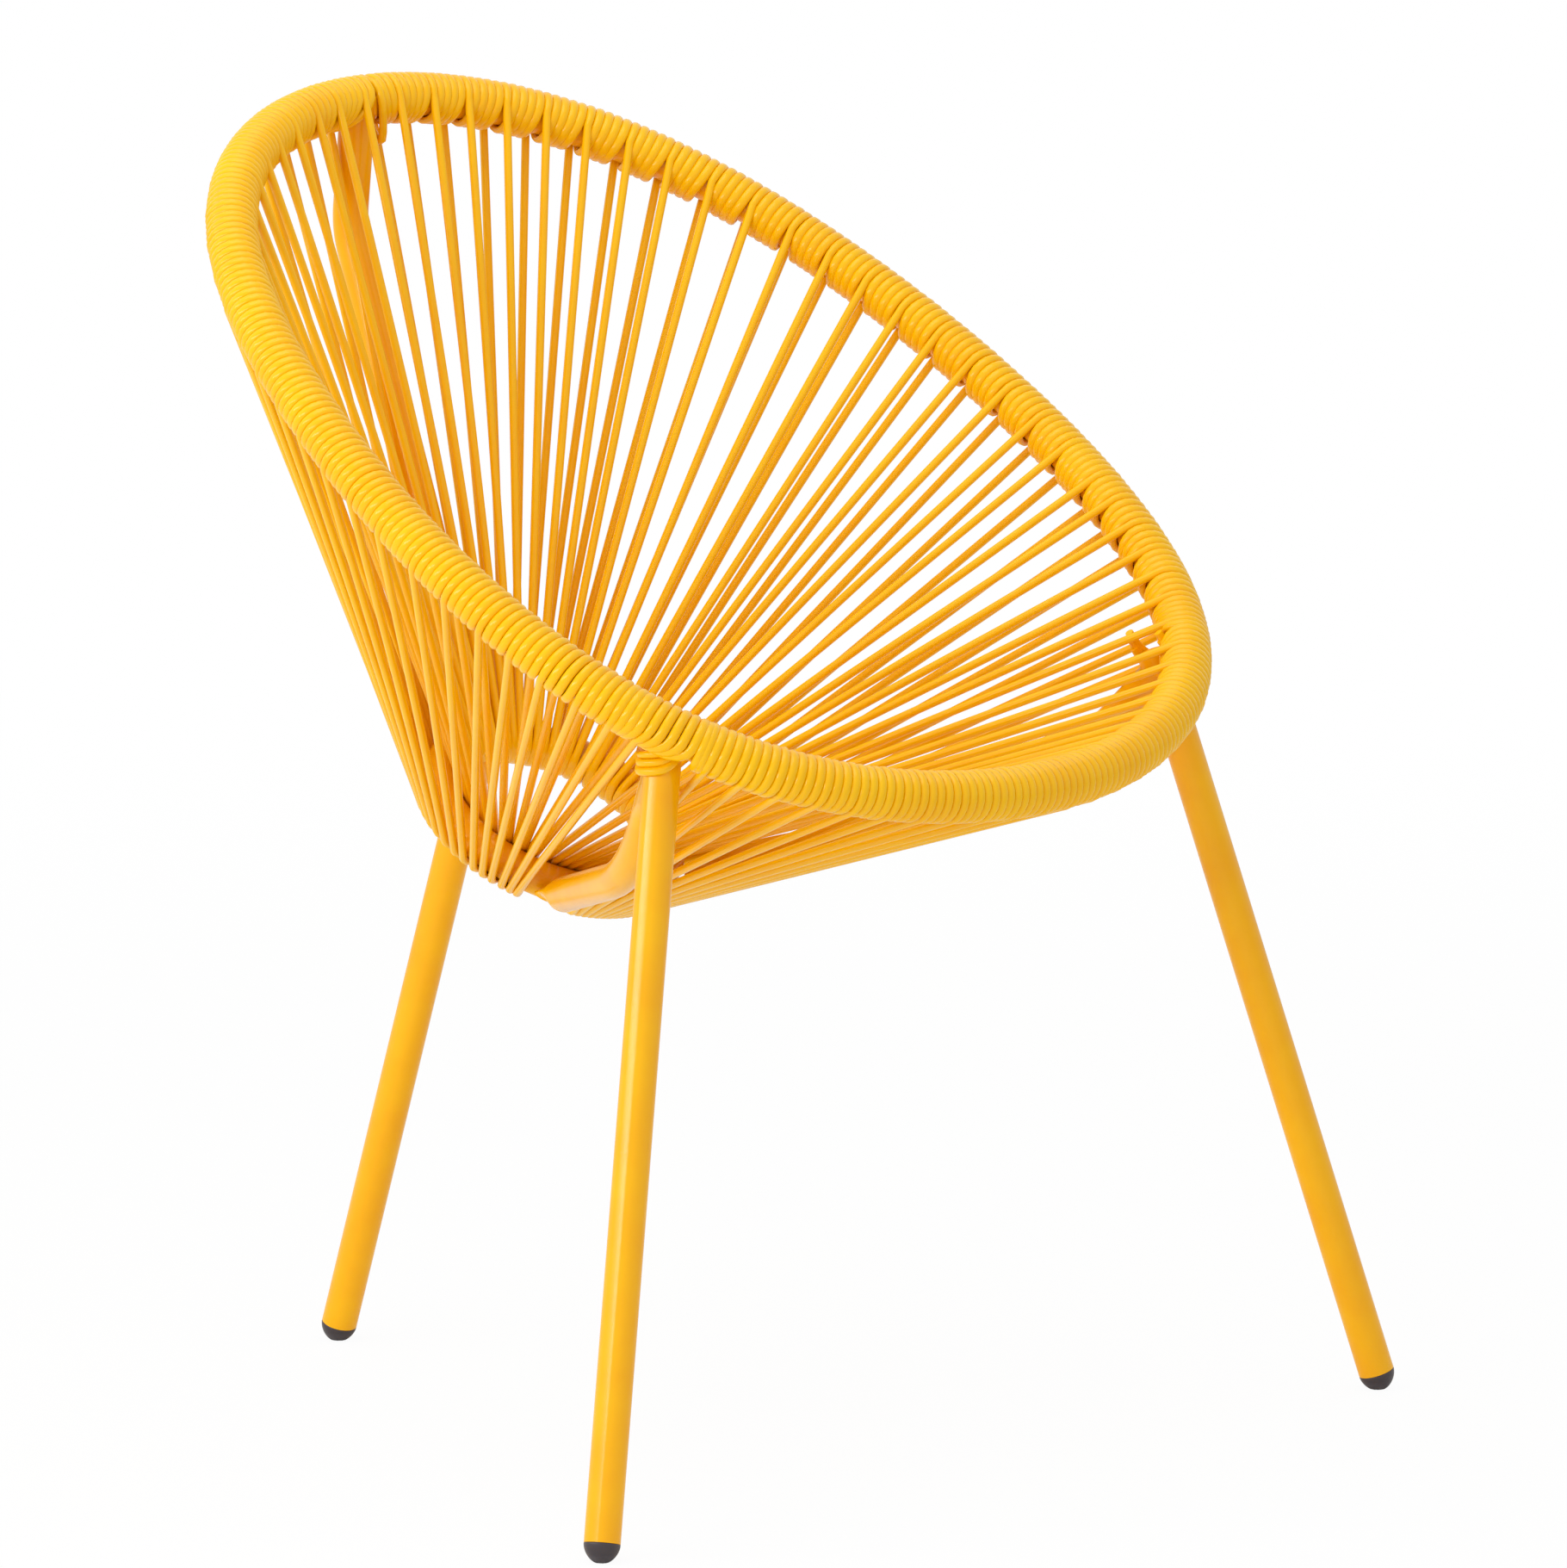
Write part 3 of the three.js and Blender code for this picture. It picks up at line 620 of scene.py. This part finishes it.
SIDE_OUT_OF_RING = (14.0, 27.6, 38.6, 55.0, 67.5, 83.0, 103.0, 119.0, 133.0, 145.0, 157.0, 167.6)
FRONT_ON_RING = np.linspace(173.0, 298.0, 21)
FRONT_OUT_OF_RING = np.linspace(197.4, 273.8, 21)


def nearness(angle, middle, reach):
    """1 where an angle is at the middle, fading to 0 where it is the reach away, in degrees."""
    off = abs((math.degrees(angle) - middle + 180) % 360 - 180)
    return 0.5 * (1 + math.cos(math.pi * min(off / reach, 1)))


def led_aside(length, angle, ends):
    """The length where a turn lies: near a weld it is led to its own side, most where the tube joins."""
    for sign, edge, weld, weld_angle in ends:
        beyond, nearest = (length - weld) * sign, (edge - weld) * sign
        if beyond < WELD_REACH:
            under = nearness(angle, weld_angle, WELD_REACH_ROUND)
            aside = WELD_HALF + (beyond - nearest) * (WELD_REACH - WELD_HALF) / (WELD_REACH - nearest)
            length = weld + sign * (beyond + max(aside - beyond, 0) * under)
    return length


def on_loop(loop, length, angle, toward, lift=0.0):
    """A cord's centre on a loop, and the way out from the tube there. The angle is 0 on the bowl's side, and
    a quarter turn faces on along the strand."""
    point, tangent, _ = loop.at(length)
    inward, onward = meeting(tangent, toward(point))
    out = inward * math.cos(angle) + onward * math.sin(angle)
    return point + out * (CORD_LAY + lift), out


def stretch_of_cord(first_end, last_end, exits, on_ring, out_of_ring, gather, loose_end=()):
    """One stretch: turns on the rim, down in the bowl, round the ring from below and up outside, and so on.
    Between two strands the turns lie gathered under the rim by a share of their pitch, and leave a notch
    there. It returns the cord's points, the way out of the tube at each, and how far it is pressed there."""
    exits, on_ring, out_of_ring = (np.array(places) / 1000 for places in (exits, on_ring, out_of_ring))
    ends = ((1, *first_end), (-1, *last_end))
    path, lays, presses = [], [], []

    def add(spot, press):
        path.append(spot[0])
        lays.append(spot[1])
        presses.append(press)

    def rim_turns(start, pitch, count, start_angle, gathered, press_in=True, press_out=True):
        steps = max(int(count * STEPS_A_TURN), FEWEST_STEPS)
        slips = UNEVEN.normal(0, UNEVEN_BY, int(count) + 3)
        lifts = abs(UNEVEN.normal(0, UNEVEN_BY, int(count) + 3))
        for i in range(steps + 1):
            turn = count * i / steps
            angle = start_angle + 2 * math.pi * turn
            under = nearness(angle, UNDER_RIM, UNDER_REACH)
            aside = (gathered + GATHERED * (count / 2 - turn)) * pitch * under if gathered else 0.0
            length = start + pitch * turn + aside + np.interp(turn, range(len(slips)), slips)
            length = led_aside(length, angle, ends)
            ring_point = RING.at(np.interp(length, exits, on_ring))[0]
            pressed_in = turn / PRESS_TURNS if press_in else 1
            pressed_out = (count - turn) / PRESS_TURNS if press_out else 1
            lift = np.interp(turn, range(len(lifts)), lifts)
            add(on_loop(RIM, length, angle, lambda p: ring_point - p, lift), min(pressed_in, pressed_out, 1))

    def turns_to(room):
        """How many turns fill the room from a strand to a weld, with a pass over the top, and their pitch."""
        count = max(round((room - CORD_RADIUS) / WRAP - TO_TOP), 1) + TO_TOP
        return count, (room - CORD_RADIUS) / count

    count, pitch = turns_to(exits[0] - first_end[0])
    count += TO_UNDER
    rim_turns(exits[0] - count * pitch, pitch, count, -2 * math.pi * count, 0, press_in=False)
    for k in range(len(exits)):
        leave = RIM.at(exits[k])[0]
        for step in range(STEPS_ROUND_RING + 1):
            angle = math.pi * step / STEPS_ROUND_RING
            passed = 0.5 * (1 - math.cos(min(angle / math.radians(RING_PASSED), 1) * math.pi))
            length = on_ring[k] + (out_of_ring[k] - on_ring[k]) * passed
            press = min(step, STEPS_ROUND_RING - step, PRESS_STEPS) / PRESS_STEPS
            add(on_loop(RING, length, angle, lambda p: p - leave), press)
        if k + 1 < len(exits):
            wraps = round((exits[k + 1] - exits[k]) / WRAP)
            pitch = (exits[k + 1] - exits[k]) / wraps
            rim_turns(exits[k] + pitch / 2, pitch, wraps - 0.5, math.pi, gather(exits[k]))
    count, pitch = turns_to(last_end[0] - exits[-1] - WRAP / 2)
    count += 0 if loose_end else TO_UNDER
    rim_turns(exits[-1] + pitch / 2, pitch, count, math.pi, 0, press_out=False)
    last_on_ring = RING.at(on_ring[-1])[0]
    for back, angle, lift in loose_end:
        add(on_loop(RIM, last_end[0] - back, math.radians(angle), lambda p: last_on_ring - p, lift), 0)
    return np.array(path), np.array(lays), np.array(presses)


def mirrored(stretch):
    path, lays, presses = stretch
    flip = np.array((-1.0, 1.0, 1.0))
    return path * flip, lays * flip, presses


def from_rear(lengths, loop):
    """Lengths down the right side, as lengths round the loop the other way."""
    return loop.length * 1000 - np.array(lengths)[::-1]


def gather_at(length):
    """How far the turns are gathered under the rim at a length from the rear, in shares of their pitch: on
    along the winding near the rear, and back along it further round."""
    return np.interp(length, GATHER_TURNS_AT, (GATHERED_BACK, GATHERED_SIDE))


LEFT_ENDS = ((UPRIGHT_PASSED, 0.0, UPRIGHT_ANGLE), (LEG_AT + LEG_PASSED, LEG_AT, LEG_ANGLE))
RIGHT_ENDS = ((RIM.length - LEG_AT, RIM.length - LEG_AT, LEG_ANGLE),
              (RIM.length + UPRIGHT_PASSED, RIM.length, UPRIGHT_ANGLE))
# The cord's loose end beside the upright: lengths before the stretch's end, angles round the rim, and lifts.
LOOSE_END = ((0.0028, -40, 0.0), (0.0032, -10, 0.0), (0.0042, 20, 0.0002), (0.0058, 45, 0.001),
             (0.0080, 65, 0.003), (0.0098, 80, 0.0075), (0.0106, 88, 0.0115), (0.0108, 95, 0.0125),
             (0.0108, 102, 0.0105), (0.0108, 110, 0.0065), (0.0106, 118, 0.003))


def ring_places(exits):
    """Where the side strands that leave the rim at these lengths pass in and out of the ring."""
    return np.interp(exits, SIDE_ON_RIM, SIDE_ON_RING), np.interp(exits, SIDE_ON_RIM, SIDE_OUT_OF_RING)


left_cord = mirrored(stretch_of_cord(*LEFT_ENDS, LEFT_EXITS, *ring_places(LEFT_EXITS), gather_at))
front_cord = mirrored(stretch_of_cord(
    LEFT_ENDS[1], RIGHT_ENDS[0], FRONT_EXITS, FRONT_ON_RING, FRONT_OUT_OF_RING, lambda length: GATHERED_SIDE))
right_ring_places = [from_rear(places, RING) for places in ring_places(RIGHT_EXITS)]
right_cord = mirrored(stretch_of_cord(
    *RIGHT_ENDS, from_rear(RIGHT_EXITS, RIM), *right_ring_places,
    lambda length: gather_at(RIM.length - length), LOOSE_END))

for cord_name, (cord_path, cord_lays, cord_presses), cord_nodes in (
        ("cord_right", right_cord, [f"seat_cord_right_{i}" for i in range(1, 6)]),
        ("cord_front", front_cord,
         [f"seat_cord_front_{side}_{i}" for side in ("left", "right") for i in (1, 2)]),
        ("cord_left", left_cord, [f"seat_cord_left_{i}" for i in range(1, 6)])):
    cord_piece = swept(cord_name, [cord_path], CORD_RADIUS, CORD_SIDES, VINYL, lays=cord_lays,
                       presses=cord_presses)
    stands_for(cord_piece, "vinyl_cord", *cord_nodes)
stands_for(swept("cord_over_leg_heads", LEG_TIES, CORD_RADIUS, CORD_SIDES, VINYL), "vinyl_cord")


# Floor, background and soft studio light
FLOOR_HALF = 30.0
FILL_STRENGTH = 0.67
LAMP_TARGET = (0, 0, 0.4)


def seen_directly(tree):
    """1 for rays from the camera and for reflections and refractions of the background."""
    path = add_node(tree, "ShaderNodeLightPath").outputs
    either = add_node(tree, "ShaderNodeMath", {"operation": "MAXIMUM"}, i0=path["Is Camera Ray"],
                      i1=path["Is Glossy Ray"])
    return add_node(tree, "ShaderNodeMath", {"operation": "MAXIMUM"}, i0=either.outputs["Value"],
                    i1=path["Is Transmission Ray"]).outputs["Value"]


def studio_floor():
    """A pale matt floor. The camera sees faint shadows near the feet, and an even white further out."""
    mesh = bpy.data.meshes.new("studio_floor")
    corners = [(x * FLOOR_HALF, y * FLOOR_HALF, 0) for x, y in ((-1, -1), (1, -1), (1, 1), (-1, 1))]
    mesh.from_pydata(corners, [], [(0, 1, 2, 3)])
    floor = bpy.data.objects.new("studio_floor", mesh)
    bpy.context.scene.collection.objects.link(floor)
    material, tree = new_material("pale_studio_floor")
    matt = add_node(tree, "ShaderNodeBsdfDiffuse", Color=linear("#F4F4F2"))
    glow = add_node(tree, "ShaderNodeEmission", Color=linear("#FFFFFF"), Strength=1.0)
    path = add_node(tree, "ShaderNodeLightPath").outputs
    coords = add_node(tree, "ShaderNodeTexCoord").outputs["Object"]
    away = add_node(tree, "ShaderNodeVectorMath", {"operation": "LENGTH"}, i0=coords).outputs["Value"]
    even = add_node(tree, "ShaderNodeMapRange", {"interpolation_type": "SMOOTHSTEP"}, Value=away,
                    From_Min=0.9, From_Max=2.6, To_Min=0.95, To_Max=1.0).outputs["Result"]
    share = add_node(tree, "ShaderNodeMath", {"operation": "MULTIPLY"}, i0=path["Is Camera Ray"], i1=even)
    both = add_node(tree, "ShaderNodeMixShader", i0=share.outputs["Value"], i1=matt.outputs["BSDF"],
                    i2=glow.outputs["Emission"])
    add_node(tree, "ShaderNodeOutputMaterial", Surface=both.outputs["Shader"])
    mesh.materials.append(material)


def studio_world():
    """White where it is seen or reflected, and a plain fill light elsewhere."""
    world = bpy.data.worlds.new("white_studio")
    world.use_nodes = True
    tree = world.node_tree
    tree.nodes.clear()
    fill = add_node(tree, "ShaderNodeBackground", Color=linear("#FFFFFF"), Strength=FILL_STRENGTH)
    white = add_node(tree, "ShaderNodeBackground", Color=linear("#FFFFFF"), Strength=1.0)
    both = add_node(tree, "ShaderNodeMixShader", i0=seen_directly(tree), i1=fill.outputs["Background"],
                    i2=white.outputs["Background"])
    add_node(tree, "ShaderNodeOutputWorld", Surface=both.outputs["Shader"])
    bpy.context.scene.world = world


def softbox(name, place, width, height, power):
    data = bpy.data.lights.new(name, "AREA")
    data.shape = "RECTANGLE"
    data.size, data.size_y = width, height
    data.energy = power
    lamp = bpy.data.objects.new(name, data)
    lamp.location = place
    lamp.rotation_euler = (Vector(LAMP_TARGET) - Vector(place)).to_track_quat("-Z", "Y").to_euler()
    bpy.context.scene.collection.objects.link(lamp)


studio_floor()
studio_world()
softbox("top_softbox", (-0.5, 0.1, 3.0), width=2.0, height=2.0, power=24.0)
softbox("left_strip", (-2.54, 0.46, 1.15), width=2.6, height=0.3, power=27.0)

scene = bpy.context.scene
scene.view_settings.view_transform = "Standard"
